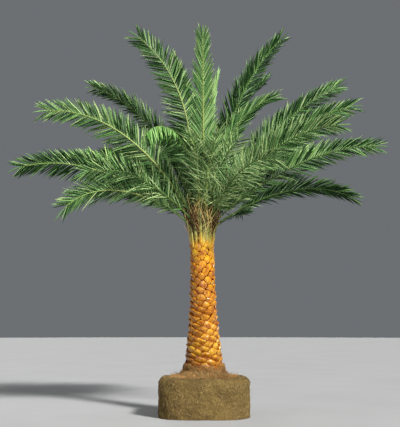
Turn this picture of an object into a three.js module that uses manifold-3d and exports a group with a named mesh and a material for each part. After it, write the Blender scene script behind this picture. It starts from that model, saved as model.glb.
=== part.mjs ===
// Silver date palm, dug for planting: a square-cut root ball, a trunk sheathed in cut
// leaf bases and a full head of feather fronds. Millimetres, +Z up, the front faces -Y.
// The origin is the middle of the root ball's flat underside.
import * as THREE from 'three';
import Module from 'manifold-3d';

const wasm = await Module();
wasm.setup();

// Root ball
const BALL_HALF = 566;
const BALL_HEIGHT = 460;
const BALL_SQUARENESS = 3.4;
const BALL_SIDES = 32;
const BALL_ROUNDING = 58;
const BALL_ROUGHNESS = 7;
const MOUND_FOOT = 335;
const MOUND_TOP = 252;
const SEAT_Z = 580;

// Trunk
const CLEARANCE = 0.3;
const TRUNK_TOP_Z = 2120;
const TRUNK_FOOT_RADIUS = 253;
const TRUNK_TOP_RADIUS = 150;
const TRUNK_TAPER = 2.1;
const TRUNK_LEAN = 24;
const GOLDEN_ANGLE = 137.508;
const BOOT_RISE = 6.3;
const BOOT_GROWTH = 0.0012;
const BOOT_DEPTH = 27;
const BOOT_LIFT = 24;

// Heart of leaf sheaths and fibre
const HEART_SIDES = 20;
const HEART_FOOT_RADIUS = 139;
const HEART_RADIUS = 222;
const HEART_BULGE_Z = 2470;
const HEART_TOP_Z = 2730;

// Fronds
const FROND_STEPS = 200;
const BASE_STEEPNESS = 76;
const BASE_BEND = 0.2;
const LEAF_START = 0.19;
const LEAF_PAIRS = 25;
const LEAF_LONG = 360;
const SPINE_LONG = 60;
const LEAF_ANGLE_LOW = 64;
const LEAF_ANGLE_TIP = 30;
const FOOT_SWEEP = 0.65;
const LEAF_LIFT = 20;
const RIPE_LOW = 0.7;
const RIPE_HIGH = 0.3;
const LOW_RISE = 31;
const HIGH_RISE = 44;
const END_LEAF = 190;
const STEM_WIDTH = 68;
const RIB_WIDTH = 34;
const TIP_WIDTH = 8;
const STEM_DEPTH = 40;
const RIB_DEPTH = 18;
const TIP_DEPTH = 7;
const LEAF_GAP = 14;
const RIB_GAP = 8;

// One row a frond: heading, rise and droop of the midrib in degrees, turn of its seat on
// the heart, length to the end leaflet's tip, roll of the blade, how far the leaflets open
// and, where the outer ones hang instead of rising over the blade, their lift.
const FRONDS = [
  [198, 34, 84, 16, 2100, -50, 1],
  [184, 36, 52, -4, 2680, -68, 1],
  [188, 57, 63, 14, 2720, -70, 1],
  [158, 68, 50, 0, 2740, -45, 0.9],
  [186, 90, 53, 0, 2700, -75, 1.1],
  [122, 86, 34, 0, 2560, -50, 0.95],
  [269, 76, 16, 17, 2430, 0, 0.58],
  [0, 90, 10, 0, 1940, 40, 0.22],
  [6, 79, 33, 24, 2820, 65, 0.68],
  [44, 73, 38, 10, 2640, 40, 0.85],
  [335, 81, 65, 8, 1960, 60, 0.42],
  [4, 57, 31, 16, 2760, 66, 0.78],
  [357, 52.5, 40, -18, 2650, 66, 0.8],
  [340, 51.5, 52, -17, 2345, 55, 0.85],
  [358, 39, 40, 8, 2680, 66, 0.8],
  [345, 31, 59, -6, 2130, 35, 0.8],
  [58, 29, 24, -14, 1250, 20, 1],
  [230, 84, 138, 30, 1910, -10, 1.4, -58],
  [303, 68, 50, 0, 1400, 40, 1],
  [284, 70, 50, 0, 1450, -25, 1],
  [260, 72, 48, 4, 1350, 25, 1],
  [308, 51, 72, 12, 1750, 50, 0.95],
  [206, 42, 60, 30, 1900, -60, 1],
  [69, 48, 54, 0, 2400, 30, 1],
  [321, 57, 66, -4, 1500, 50, 1],
  [98, 44, 58, 0, 2450, -30, 1],
  [128, 44, 56, 0, 2500, 40, 1],
  [164, 44, 54, 0, 2550, 35, 1],
  [26, 50, 56, 4, 2450, -35, 1],
  [54, 52, 58, 4, 2450, -40, 1],
  [80, 64, 58, 0, 2450, 30, 0.95],
  [108, 64, 58, 0, 2450, 35, 0.95],
  [142, 50, 58, 0, 2500, -35, 1],
  [114, 36, 44, 0, 2300, -25, 1],
  [146, 34, 44, 0, 2300, 30, 1],
  [68, 34, 42, 0, 2300, -30, 1],
  [92, 34, 40, 2, 2300, 25, 1],
];

const rad = THREE.MathUtils.degToRad;
const smooth = THREE.MathUtils.smoothstep;
const lerp = THREE.MathUtils.lerp;

// Repeatable unevenness between -1 and 1 for a numbered spot.
function uneven(index) {
  const wave = Math.sin(index * 12.9898 + 4.1414) * 43758.5453;
  return 2 * (wave - Math.floor(wave)) - 1;
}

// A closed solid from points and triangles, turned so that its faces look outward.
function solid(points, triangles) {
  let volume = 0;
  for (const [a, b, c] of triangles) {
    const cross = new THREE.Vector3().crossVectors(points[b], points[c]);
    volume += points[a].dot(cross);
  }
  const order = volume > 0 ? [0, 1, 2] : [0, 2, 1];
  const vertProperties = new Float32Array(points.flatMap((point) => point.toArray()));
  const triVerts = new Uint32Array(triangles.flatMap((tri) => order.map((k) => tri[k])));
  const mesh = new wasm.Mesh({ numProp: 3, vertProperties, triVerts });
  return new wasm.Manifold(mesh);
}

// Rings of equal count skinned from the bottom up and closed by a point at each end.
function skin(rings, bottom, top) {
  const count = rings[0].length;
  const points = [bottom, ...rings.flat(), top];
  const last = points.length - 1;
  const triangles = [];
  for (let k = 0; k < count; k += 1) {
    const next = (k + 1) % count;
    triangles.push([0, 1 + next, 1 + k]);
    for (let r = 0; r < rings.length - 1; r += 1) {
      const low = 1 + r * count;
      const high = low + count;
      triangles.push([low + k, low + next, high + next]);
      triangles.push([low + k, high + next, high + k]);
    }
    const rim = last - count;
    triangles.push([rim + k, rim + next, last]);
  }
  return solid(points, triangles);
}

function slab(z0, z1) {
  const box = new THREE.BoxGeometry(4000, 4000, z1 - z0).translate(0, 0, (z0 + z1) / 2);
  const spots = box.getAttribute('position');
  const points = [];
  const lookup = new Map();
  const renamed = [];
  for (let i = 0; i < spots.count; i += 1) {
    const point = new THREE.Vector3().fromBufferAttribute(spots, i);
    const key = point.toArray().join();
    if (!lookup.has(key)) {
      lookup.set(key, points.length);
      points.push(point);
    }
    renamed.push(lookup.get(key));
  }
  const triangles = [];
  for (let i = 0; i < box.index.count; i += 3) {
    triangles.push([0, 1, 2].map((k) => renamed[box.index.getX(i + k)]));
  }
  return solid(points, triangles);
}

// Root ball: squared plan with rounded edges and a mound of rootlets up to the trunk.
function ballRing(reach, z, squareness, seed) {
  const ring = [];
  for (let k = 0; k < BALL_SIDES; k += 1) {
    const turn = (2 * Math.PI * (k + 0.5)) / BALL_SIDES;
    const c = Math.abs(Math.cos(turn)) ** squareness;
    const s = Math.abs(Math.sin(turn)) ** squareness;
    const out = reach * (c + s) ** (-1 / squareness) + seed * uneven(k + 41 * z);
    ring.push(new THREE.Vector3(out * Math.cos(turn), out * Math.sin(turn), z));
  }
  return ring;
}

function rootBall() {
  const rings = [];
  for (const bend of [0, 30, 60, 90]) {
    const inward = BALL_ROUNDING * (1 - Math.sin(rad(bend)));
    const z = BALL_ROUNDING * (1 - Math.cos(rad(bend)));
    rings.push(ballRing(BALL_HALF - 12 - inward, z, BALL_SQUARENESS, bend ? BALL_ROUGHNESS : 0));
  }
  rings.push(ballRing(BALL_HALF, BALL_HEIGHT * 0.42, BALL_SQUARENESS, BALL_ROUGHNESS));
  rings.push(ballRing(BALL_HALF - 8, BALL_HEIGHT * 0.7, BALL_SQUARENESS, BALL_ROUGHNESS));
  for (const bend of [0, 30, 60, 90]) {
    const inward = 20 + BALL_ROUNDING * (1 - Math.cos(rad(bend)));
    const z = BALL_HEIGHT - BALL_ROUNDING * (1 - Math.sin(rad(bend)));
    rings.push(ballRing(BALL_HALF - inward, z, BALL_SQUARENESS, BALL_ROUGHNESS));
  }
  rings.push(ballRing(MOUND_FOOT, BALL_HEIGHT + 10, 2.3, BALL_ROUGHNESS));
  rings.push(ballRing(lerp(MOUND_FOOT, MOUND_TOP, 0.62), BALL_HEIGHT + 52, 2, BALL_ROUGHNESS));
  rings.push(ballRing(MOUND_TOP, SEAT_Z, 2, 0));
  return skin(rings, new THREE.Vector3(0, 0, 0), new THREE.Vector3(0, 0, SEAT_Z));
}

// Trunk: the outline tapers from a flared foot, and every cut leaf base is a raised six-sided
// boot on a golden-angle spiral, fullest near its upper edge. The spiral steepens upward.
function trunkRadius(z) {
  const t = THREE.MathUtils.clamp((z - SEAT_Z) / (TRUNK_TOP_Z - SEAT_Z), 0, 1);
  return TRUNK_TOP_RADIUS + (TRUNK_FOOT_RADIUS - TRUNK_TOP_RADIUS) * (1 - t) ** TRUNK_TAPER;
}

function trunkAxis(z) {
  return (-TRUNK_LEAN * (z - SEAT_Z)) / (TRUNK_TOP_Z - SEAT_Z);
}

function bootHeight(place) {
  return SEAT_Z + (BOOT_RISE * (Math.exp(BOOT_GROWTH * place) - 1)) / BOOT_GROWTH;
}

function trunkPoint(place, inset, lift) {
  const z = bootHeight(place) + lift;
  const turn = rad(GOLDEN_ANGLE * place);
  const out = trunkRadius(z) - inset;
  return new THREE.Vector3(trunkAxis(z) + out * Math.cos(turn), out * Math.sin(turn), z);
}

function hollowPoint(members) {
  const sum = new THREE.Vector3();
  for (const place of members) {
    sum.add(trunkPoint(place, 0, 0));
  }
  sum.divideScalar(3);
  const axis = trunkAxis(sum.z);
  const turn = Math.atan2(sum.y, sum.x - axis);
  const out = trunkRadius(sum.z) - BOOT_DEPTH;
  return new THREE.Vector3(axis + out * Math.cos(turn), out * Math.sin(turn), sum.z);
}

function trunkBody() {
  const climb = (BOOT_GROWTH * (TRUNK_TOP_Z - SEAT_Z)) / BOOT_RISE;
  const boots = Math.round(Math.log(1 + climb) / BOOT_GROWTH);
  const spare = 30;
  const points = [];
  const named = new Map();
  const hollow = (kind, place) => {
    const key = kind + place;
    if (!named.has(key)) {
      const across = kind === 'a' ? 5 : 8;
      named.set(key, points.length);
      points.push(hollowPoint([place, place + across, place + 13]));
    }
    return named.get(key);
  };
  const triangles = [];
  for (let n = -spare; n < boots + spare; n += 1) {
    const crest = points.length;
    points.push(trunkPoint(n, 0, BOOT_LIFT));
    const rim = [
      hollow('a', n),
      hollow('b', n),
      hollow('a', n - 5),
      hollow('b', n - 13),
      hollow('a', n - 13),
      hollow('b', n - 8),
    ];
    rim.forEach((corner, k) => triangles.push([crest, corner, rim[(k + 1) % 6]]));
  }
  closeEnds(points, triangles);
  return solid(points, triangles).intersect(slab(SEAT_Z + CLEARANCE, TRUNK_TOP_Z));
}

// Each open edge loop is closed by a fan to the middle of the loop.
function closeEnds(points, triangles) {
  const follow = new Map();
  const seen = new Set(triangles.flatMap(([a, b, c]) => [`${a},${b}`, `${b},${c}`, `${c},${a}`]));
  for (const edge of seen) {
    const [a, b] = edge.split(',').map(Number);
    if (!seen.has(`${b},${a}`)) {
      follow.set(b, a);
    }
  }
  while (follow.size) {
    const start = follow.keys().next().value;
    const loop = [];
    for (let at = start; follow.has(at);) {
      const next = follow.get(at);
      follow.delete(at);
      loop.push(at);
      at = next;
    }
    const middle = new THREE.Vector3();
    loop.forEach((k) => middle.addScaledVector(points[k], 1 / loop.length));
    const hub = points.length;
    points.push(middle);
    loop.forEach((k, i) => triangles.push([k, loop[(i + 1) % loop.length], hub]));
  }
}

// Heart: a cup of leaf sheaths and fibre that widens above the trunk and closes on top.
function heartReach(z) {
  if (z < HEART_BULGE_Z) {
    const t = (z - TRUNK_TOP_Z) / (HEART_BULGE_Z - TRUNK_TOP_Z);
    return lerp(HEART_FOOT_RADIUS, HEART_RADIUS, smooth(t, -0.1, 1.05));
  }
  const t = Math.min(1, (z - HEART_BULGE_Z) / (HEART_TOP_Z - HEART_BULGE_Z));
  return HEART_RADIUS * Math.sqrt(1 - t ** 2.2);
}

function heart(extra) {
  const foot = TRUNK_TOP_Z + CLEARANCE - extra;
  const levels = [0, 0.12, 0.3, 0.55, 0.8, 1].map((t) => lerp(foot, HEART_BULGE_Z, t));
  levels.push(...[0.3, 0.55, 0.8].map((t) => lerp(HEART_BULGE_Z, HEART_TOP_Z, t)));
  const rings = levels.map((z) => heartRing(heartReach(z) + extra, z));
  const axis = -TRUNK_LEAN;
  const low = new THREE.Vector3(axis, 0, foot);
  return skin(rings, low, new THREE.Vector3(axis, 0, HEART_TOP_Z + extra));
}

function heartRing(reach, z) {
  const ring = [];
  for (let k = 0; k < HEART_SIDES; k += 1) {
    const turn = (2 * Math.PI * k) / HEART_SIDES;
    ring.push(new THREE.Vector3(reach * Math.cos(turn) - TRUNK_LEAN, reach * Math.sin(turn), z));
  }
  return ring;
}

// Frond: the midrib leaves its seat steeply, bends out to its rise and droops toward the tip.
function midrib([heading, rise, droop, seat, length, roll]) {
  const high = Math.max(rise, 0) / 90;
  const out = 130 - 70 * high;
  const azimuth = rad(heading);
  const spot = new THREE.Vector3(
    out * Math.cos(rad(heading + seat)) - TRUNK_LEAN,
    out * Math.sin(rad(heading + seat)),
    TRUNK_TOP_Z - 30 + 400 * high ** 1.3,
  );
  const stations = [];
  for (let step = 0; step <= FROND_STEPS; step += 1) {
    const s = step / FROND_STEPS;
    const early = (BASE_STEEPNESS - rise) * Math.max(0, 1 - s / BASE_BEND) ** 2;
    const lift = rad(rise + early - droop * s ** 2);
    const along = new THREE.Vector3(
      Math.cos(lift) * Math.cos(azimuth),
      Math.cos(lift) * Math.sin(azimuth),
      Math.sin(lift),
    );
    const face = new THREE.Vector3(
      -Math.sin(lift) * Math.cos(azimuth),
      -Math.sin(lift) * Math.sin(azimuth),
      Math.cos(lift),
    );
    face.applyAxisAngle(along, -rad(roll) * smooth(s, 0.08, 0.4));
    const side = new THREE.Vector3().crossVectors(along, face);
    stations.push({ spot: spot.clone(), along, face, side, s });
    spot.addScaledVector(along, (length - END_LEAF) / FROND_STEPS);
  }
  return stations;
}

function ribWidth(s) {
  const low = lerp(STEM_WIDTH, RIB_WIDTH, Math.min(1, s / LEAF_START));
  return s < LEAF_START ? low : lerp(RIB_WIDTH, TIP_WIDTH, (s - LEAF_START) / (1 - LEAF_START));
}

function ribDepth(s) {
  const low = lerp(STEM_DEPTH, RIB_DEPTH, Math.min(1, s / LEAF_START));
  return s < LEAF_START ? low : lerp(RIB_DEPTH, TIP_DEPTH, (s - LEAF_START) / (1 - LEAF_START));
}

// Leaflets lengthen to the ripe part of the blade, further out on low fronds, and shorten to its tip.
function leafLength(u, ripe) {
  return SPINE_LONG + (LEAF_LONG - SPINE_LONG) * smooth(u, -0.12, ripe) * (1 - 0.5 * u * u);
}

// Space already held by ribs and leaflets, so that no two fronds touch.
const held = [];

function hold(owner, from, to, girth) {
  const line = new THREE.Line3(from.clone(), to.clone());
  const middle = line.getCenter(new THREE.Vector3());
  held.push({ owner, line, middle, half: line.distance() / 2, girth });
}

function blocked(owner, from, to, gap) {
  const line = new THREE.Line3(from, to);
  const middle = line.getCenter(new THREE.Vector3());
  const half = line.distance() / 2;
  return held.some((other) => {
    if (other.owner === owner) {
      return false;
    }
    const limit = gap + other.girth;
    if (middle.distanceTo(other.middle) > half + other.half + limit) {
      return false;
    }
    return line.distanceSqToLine3(other.line) < limit * limit;
  });
}

function clearOfHeart(point) {
  return Math.hypot(point.x + TRUNK_LEAN, point.y) > heartReach(point.z) + LEAF_GAP;
}

function frondStations(stations) {
  const picks = [0, 0.03, 0.07, 0.115];
  for (let k = 0; k <= LEAF_PAIRS; k += 1) {
    picks.push(lerp(LEAF_START, 1, k / LEAF_PAIRS));
  }
  return picks.map((s) => stations[Math.round(s * FROND_STEPS)]);
}

function corners({ spot, face, side, s }) {
  const w = ribWidth(s) / 2;
  const h = ribDepth(s) / 2;
  return [[w, h], [-w, h], [-w, -h], [w, -h]].map(([x, y]) => (
    spot.clone().addScaledVector(side, x).addScaledVector(face, y)
  ));
}

function leafTip(low, high, hand, blade, portion) {
  const u = ((low.s + high.s) / 2 - LEAF_START) / (1 - LEAF_START);
  const sweep = lerp(FOOT_SWEEP, 1, smooth(u, 0, 0.4));
  const swing = rad(blade.open * sweep * lerp(LEAF_ANGLE_LOW, LEAF_ANGLE_TIP, u));
  const rise = rad(lerp(LEAF_LIFT, blade.lift, smooth(u, 0.15, 0.6)));
  const reach = leafLength(u, blade.ripe) * portion;
  const w = hand * (ribWidth(high.s) / 2);
  return high.spot.clone()
    .addScaledVector(high.side, w)
    .addScaledVector(high.along, reach * Math.cos(swing))
    .addScaledVector(high.side, hand * reach * Math.sin(swing) * Math.cos(rise))
    .addScaledVector(high.face, reach * Math.sin(swing) * Math.sin(rise));
}

function frondBody(owner, blade, stations) {
  const rings = stations.map(corners);
  const points = rings.flat();
  const triangles = [];
  const quad = (a, b, c, d) => triangles.push([a, b, c], [a, c, d]);
  quad(3, 2, 1, 0);
  for (let i = 0; i < rings.length - 1; i += 1) {
    const [a, b, c, d] = [0, 1, 2, 3].map((k) => 4 * i + k);
    const [e, f, g, h] = [a, b, c, d].map((k) => k + 4);
    quad(a, b, f, e);
    quad(c, d, h, g);
    const sides = [[b, c, g, f, -1], [d, a, e, h, 1]];
    for (const [p, q, r, t, hand] of sides) {
      const root = [points[p], points[t], points[p].clone().lerp(points[t], 0.5)];
      let tip = null;
      for (const portion of [1, 0.8, 0.6, 0.42]) {
        if (stations[i].s >= LEAF_START - 0.001 && tip === null) {
          const trial = leafTip(stations[i], stations[i + 1], hand, blade, portion);
          const outside = [...root, trial, root[2].clone().lerp(trial, 0.5)].every(clearOfHeart);
          const free = outside && !root.some((from) => blocked(owner, from, trial, LEAF_GAP));
          tip = free ? trial : null;
        }
      }
      if (tip === null) {
        quad(p, q, r, t);
      } else {
        root.forEach((from) => hold(owner, from, tip, 0));
        const apex = points.length;
        points.push(tip);
        triangles.push([p, q, apex], [q, r, apex], [r, t, apex], [t, p, apex]);
      }
    }
  }
  const rim = 4 * (rings.length - 1);
  const last = stations[stations.length - 1];
  const end = points.length;
  points.push(last.spot.clone().addScaledVector(last.along, END_LEAF));
  for (let k = 0; k < 4; k += 1) {
    triangles.push([rim + k, rim + ((k + 1) % 4), end]);
  }
  return solid(points, triangles);
}

// Everything is gathered into one group, a named mesh for each part of the plant.
const group = new THREE.Group();
group.name = 'silver_date_palm';

function addPart(name, body, colour, roughness) {
  const shape = body.getMesh();
  const geometry = new THREE.BufferGeometry();
  geometry.setAttribute('position', new THREE.BufferAttribute(shape.vertProperties, 3));
  geometry.setIndex(new THREE.BufferAttribute(shape.triVerts, 1));
  const material = new THREE.MeshStandardMaterial({ color: colour, roughness });
  material.name = name;
  const mesh = new THREE.Mesh(geometry, material);
  mesh.name = name;
  group.add(mesh);
}

addPart('root_ball', rootBall(), '#7a6440', 0.95);
addPart('trunk', trunkBody(), '#b9791f', 0.7);
addPart('heart', heart(0), '#6b4a22', 0.9);

const heartRoom = heart(CLEARANCE + 0.1);
const ribs = FRONDS.map((row) => midrib(row));
ribs.forEach((stations, owner) => {
  for (let step = 0; step < FROND_STEPS; step += 8) {
    const from = stations[step];
    const to = stations[step + 8];
    hold(owner, from.spot, to.spot, ribWidth(from.s) / 2 + RIB_GAP);
  }
  const last = stations[FROND_STEPS];
  const end = last.spot.clone().addScaledVector(last.along, END_LEAF);
  hold(owner, last.spot, end, TIP_WIDTH / 2);
});
FRONDS.forEach((row, owner) => {
  const ripe = lerp(RIPE_LOW, RIPE_HIGH, smooth(row[1], LOW_RISE, HIGH_RISE));
  const blade = { open: row[6], lift: row[7] ?? LEAF_LIFT, ripe };
  const body = frondBody(owner, blade, frondStations(ribs[owner])).subtract(heartRoom);
  const name = `frond_${String(owner + 1).padStart(2, '0')}`;
  addPart(name, body, row[1] > 62 ? '#6f9440' : '#4d7333', 0.75);
});

export default group;
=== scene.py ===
"""Dresses a dug date palm: soil and roots, cut leaf bases, fibre, frond stems and leaflets."""

import math
from collections import namedtuple

import bmesh
import bpy
import numpy as np
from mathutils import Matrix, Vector
from mathutils.bvhtree import BVHTree


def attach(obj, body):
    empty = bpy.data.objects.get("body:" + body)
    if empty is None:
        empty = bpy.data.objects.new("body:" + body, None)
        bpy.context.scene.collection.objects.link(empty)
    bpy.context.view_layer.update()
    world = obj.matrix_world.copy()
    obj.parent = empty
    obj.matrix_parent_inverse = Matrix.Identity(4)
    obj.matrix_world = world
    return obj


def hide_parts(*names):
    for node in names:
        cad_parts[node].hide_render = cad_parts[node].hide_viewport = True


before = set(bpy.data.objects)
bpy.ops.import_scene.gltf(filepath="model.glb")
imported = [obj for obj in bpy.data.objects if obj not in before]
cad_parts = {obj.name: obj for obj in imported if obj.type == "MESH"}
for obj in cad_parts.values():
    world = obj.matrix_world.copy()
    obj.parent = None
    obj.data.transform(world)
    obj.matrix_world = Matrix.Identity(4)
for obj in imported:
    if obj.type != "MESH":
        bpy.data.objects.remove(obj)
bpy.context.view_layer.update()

# Sizes are in metres and angles in degrees.

# Root ball
BALL_HALF = 0.566
BALL_HEIGHT = 0.46
BALL_CORNER = 0.34
BALL_ROUNDING = 0.058
BALL_SHRINK = 0.03
SOIL_GRAIN = 0.012
MOUND_FOOT = 0.375
MOUND_TOP = 0.24
MOUND_TOP_Z = 0.555
SEAT_Z = 0.58
ROOT_STEPS = 5
ROOT_WANDER = 0.4
HAIR_COUNT = 2600
HAIR_STRIDE = (0.006, 0.017)
HAIR_THICK = (0.0008, 0.0021)
HAIR_SHARES = (0.42, 0.33, 0.25)
HAIR_FLOOR_Z = 0.012
ROOTLET_COUNT = 2400
ROOTLET_REACH = (0.22, 0.40)
ROOTLET_STRIDE = (0.007, 0.020)
ROOTLET_THICK = (0.0012, 0.0032)
ROOTLET_SHARES = (0.35, 0.3, 0.35)

# Trunk
TRUNK_TOP_Z = 2.12
TRUNK_FOOT_RADIUS = 0.253
TRUNK_TOP_RADIUS = 0.150
TRUNK_TAPER = 2.1
TRUNK_LEAN = 0.024
CORE_INSET = 0.036
GOLDEN_ANGLE = 137.508
BOOT_RISE = 0.0063
BOOT_GROWTH = 0.0012
BOOT_DEPTH = 0.056
BOOT_SIDES = 14
BOOT_CORNERS = 70
BOOT_SEAM = 0.0009
BOOT_STRAY = 4.2
BOOT_TILT = 0.005
BOOT_STAGGER = 0.007
BOOT_LIP = 0.004
BOOT_NEIGHBOURS = (3, 5, 8, 13, 21, -3, -5, -8, -13, -21)
BURIED_BOOTS = 9
# Bearing of the sunny side, and the share of each boot's tone that is painted light and shade by the
# way it faces
SUNNY_SIDE = 310
PAINTED_SUN_SHARE = 0.4

# Pairs for cut leaf bases, fresh then aged: the share of the way up the trunk, then their form
BOOT_AGES = (0.95, 0.3)
BOOT_SQUASH = (1.05, 1.75)
BOOT_FALL = (0.018, 0.038)
BOOT_BULGE = (0.001, 0.009)
BOOT_WEAR = (0.001, 0.016)
BOOT_PROUD = (0.010, 0.003)

# Heart
HEART_NECK = 0.116
HEART_BELLY = 0.136
HEART_BELLY_Z = 2.42
HEART_DOME_Z = 2.45
HEART_TOP_Z = 2.70
STRAND_STEPS = 6
FIBRE_STRANDS = 820
FIBRE_TALL = (0.12, 0.32)
FIBRE_TWIST = 0.9
FIBRE_FLARE = 0.115
FIBRE_RISE = 0.42
FIBRE_CLEAR = (0.08, 0.26)
FIBRE_THICK = (0.0014, 0.0034)
FIBRE_SHARES = (0.64, 0.32, 0.04)
DRY_STALKS = 60
STALK_TALL = (0.2, 0.42)
STALK_TWIST = 0.85
STALK_FLARE = (0.02, 0.12)
STALK_THICK = (0.0028, 0.0056)

# Frond seats on the heart, and midribs
SEAT_OUT = 0.13
SEAT_DRAW = 0.07
SEAT_SINK = 0.03
SEAT_CLIMB = 0.4
STEM_GAP = 0.004
CLASP_OUT = 0.05
CLASP_RISE = 72
BASE_STEEPNESS = 76
BASE_BEND = 0.2
MIDRIB_STEPS = 200

# Frond stems and the sheaths at their feet
STEM_WIDTH = 0.06
RIB_WIDTH = 0.020
TIP_WIDTH = 0.005
STEM_DEPTH = 0.036
RIB_DEPTH = 0.018
TIP_DEPTH = 0.006
SHEATH_WIDTH = 0.074
SHEATH_DEPTH = 0.022
SHEATH_OUT = 0.126
SHEATH_STAGGER = 0.008
SHEATH_SINK = 0.08
SHEATH_STEPS = 24

# Fronds by number, and the rises below which a frond counts as lower or middle
LOWER_TIER = 45
MIDDLE_TIER = 66
YOUNG_FRONDS = (7, 8, 11)
WILD_FRONDS = (19, 20, 21, 22, 23, 25)
BARE_STEMS = (1, 18, 19, 20)
FRONT_STEMS = (18,)
FRONT_PROUD = 0.09
FRONT_SLIM = 0.85
FRONT_EVEN = 0.45

# Leaflets, with their places as shares of the midrib
SPINE_START = 0.05
SPINE_LONG = 0.06
SPINE_WIDE = 0.012
LEAF_START = 0.19
LEAF_FLOOR_Z = 2.52
LEAF_LONG = 0.36
LEAF_WIDE = 0.018
LEAF_PITCH = 0.0095
END_LEAF = 0.19
END_LEAF_WIDE = 0.02
LOW_RISE = 31
HIGH_RISE = 44
RIPE_LOW = 0.7
RIPE_HIGH = 0.3
LEAF_ANGLE_LOW = 64
LEAF_ANGLE_TIP = 30
FOOT_SWEEP = 0.65
LEAF_LIFT = 20
LEAF_SWING = 2
LEAF_SPREAD = 15
LEAF_TWIST = 16
LEAF_STATIONS = np.array((0.0, 0.3, 0.72))
LEAF_OUTLINE = np.array((0.5, 1.0, 0.78))
LEAF_FOLD = (16, 34)
LEAF_SAG = (0.02, 0.11)
LEAF_CURL = 0.035
LEAF_THIN = 0.0022
KEEL_DEPTH = 0.0018

# Sprays of leaflets, half of each behind the rest, lower and with painted shade, and the front half
# with painted light
LEAF_SPRAY = 4
SPRAY_SWING = 3.5
SPRAY_GATHER = 0.25
BEHIND_DROP = 14
BEHIND_PAINTED_SHADE = 1.25
FRONT_PAINTED_LIGHT = 1.85
TONE_STRAY = 0.6

# Loose narrow leaflets near the heart, which reach further out on the wild fronds and carry painted
# light against the crown's shade
INNER_LEAVES = 36
INNER_PAINTED_LIGHT = 2.2
INNER_STRAY = 0.9
INNER_REACH = 0.85
INNER_FAR = 0.36
INNER_WIDE = 0.010
INNER_SLIM = 0.55
LOOSE_SWING = 14
LOOSE_SPREAD = 26
WILD_REACH = 1.5
WILD_FAR = 0.8
WILD_PITCH = 0.021
WILD_SPRAY = 2

# Studio
FLOOR_RADIUS = 60
TRUNK_AIM = (0, 0, 2.0)
HEAD_AIM = (0, 0, 2.4)
AIR_COLOUR = (0.84, 0.89, 0.95, 1)
AIR_STRENGTH = 0.18
CAMERA_SPOT = (-0.05, -10.0, 1.10)
CAMERA_PITCH = 7.95
LENS = 71.55
FILM_WIDTH = 36

# One row a frond: heading, rise and droop of the midrib, turn of its seat on the heart, length
# to the end leaflet's tip, roll of the blade, how far the leaflets open, their lift, leaf tone.
# The leaf tone holds the frond's own green by age, with painted shade on fronds that lie in shade and
# painted light on fronds lifted out of it.
FROND_ROWS = [
    (198, 34, 84, 16, 2.1, -50, 1, 20, 2.8),
    (184, 36, 52, -4, 2.68, -68, 1, 20, 1.3),
    (188, 57, 63, 14, 2.72, -70, 1, 20, 2.8),
    (158, 68, 50, 0, 2.74, -45, 0.9, 20, 2.1),
    (186, 90, 53, 0, 2.7, -75, 1.1, 20, 2.1),
    (122, 86, 34, 0, 2.56, -50, 0.95, 20, 2.8),
    (269, 76, 16, 17, 2.43, 0, 0.58, 20, 3.6),
    (0, 90, 10, 0, 1.94, 40, 0.22, 20, 4.4),
    (6, 79, 33, 24, 2.82, 65, 0.68, 20, 1.1),
    (44, 73, 38, 10, 2.64, 40, 0.85, 20, 0.4),
    (335, 81, 65, 8, 1.96, 60, 0.42, 20, 3),
    (4, 57, 31, 16, 2.76, 66, 0.78, 20, 2.1),
    (357, 52.5, 40, -18, 2.65, 66, 0.8, 20, 2.2),
    (340, 51.5, 52, -17, 2.345, 55, 0.85, 20, 2.8),
    (358, 39, 40, 8, 2.68, 66, 0.8, 20, 2.4),
    (345, 31, 59, -6, 2.13, 35, 0.8, 20, 0.8),
    (58, 29, 24, -14, 1.25, 20, 1, 20, 0.6),
    (230, 84, 138, 30, 1.91, -10, 1.4, -58, 2.5),
    (303, 68, 50, 0, 1.4, 40, 1, 20, 3.3),
    (284, 70, 50, 0, 1.45, -25, 1, 20, 3.4),
    (260, 72, 48, 4, 1.35, 25, 1, 20, 3.4),
    (308, 51, 72, 12, 1.75, 50, 0.95, 20, 3),
    (206, 42, 60, 30, 1.9, -60, 1, 20, 1.7),
    (69, 48, 54, 0, 2.4, 30, 1, 20, 1.7),
    (321, 57, 66, -4, 1.5, 50, 1, 20, 2.7),
    (98, 44, 58, 0, 2.45, -30, 1, 20, 1.7),
    (128, 44, 56, 0, 2.5, 40, 1, 20, 1.6),
    (164, 44, 54, 0, 2.55, 35, 1, 20, 1.7),
    (26, 50, 56, 4, 2.45, -35, 1, 20, 1.6),
    (54, 52, 58, 4, 2.45, -40, 1, 20, 1.9),
    (80, 64, 58, 0, 2.45, 30, 0.95, 20, 2.4),
    (108, 64, 58, 0, 2.45, 35, 0.95, 20, 2.3),
    (142, 50, 58, 0, 2.5, -35, 1, 20, 2),
    (114, 36, 44, 0, 2.3, -25, 1, 20, 1.4),
    (146, 34, 44, 0, 2.3, 30, 1, 20, 1.4),
    (68, 34, 42, 0, 2.3, -30, 1, 20, 1.4),
    (92, 34, 40, 2, 2.3, 25, 1, 20, 1.4),
]
Frond = namedtuple("Frond", "heading rise droop seat length roll openness leaf_lift tone")
FRONDS = {number: Frond(*row) for number, row in enumerate(FROND_ROWS, start=1)}

# Leaflet greens from the darkest, used for old fronds and as painted shade, to the palest, used for
# unfolding young ones and as painted light: upper side, underside.
LEAF_TONES = [
    ("shade_green", (10, 30, 4), (20, 44, 14)),
    ("deep_green", (33, 63, 21), (47, 77, 37)),
    ("mid_green", (61, 102, 44), (75, 111, 61)),
    ("fresh_green", (93, 135, 63), (106, 142, 80)),
    ("silver_green", (126, 162, 98), (134, 165, 109)),
    ("pale_green", (158, 185, 110), (159, 181, 119)),
]

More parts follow.
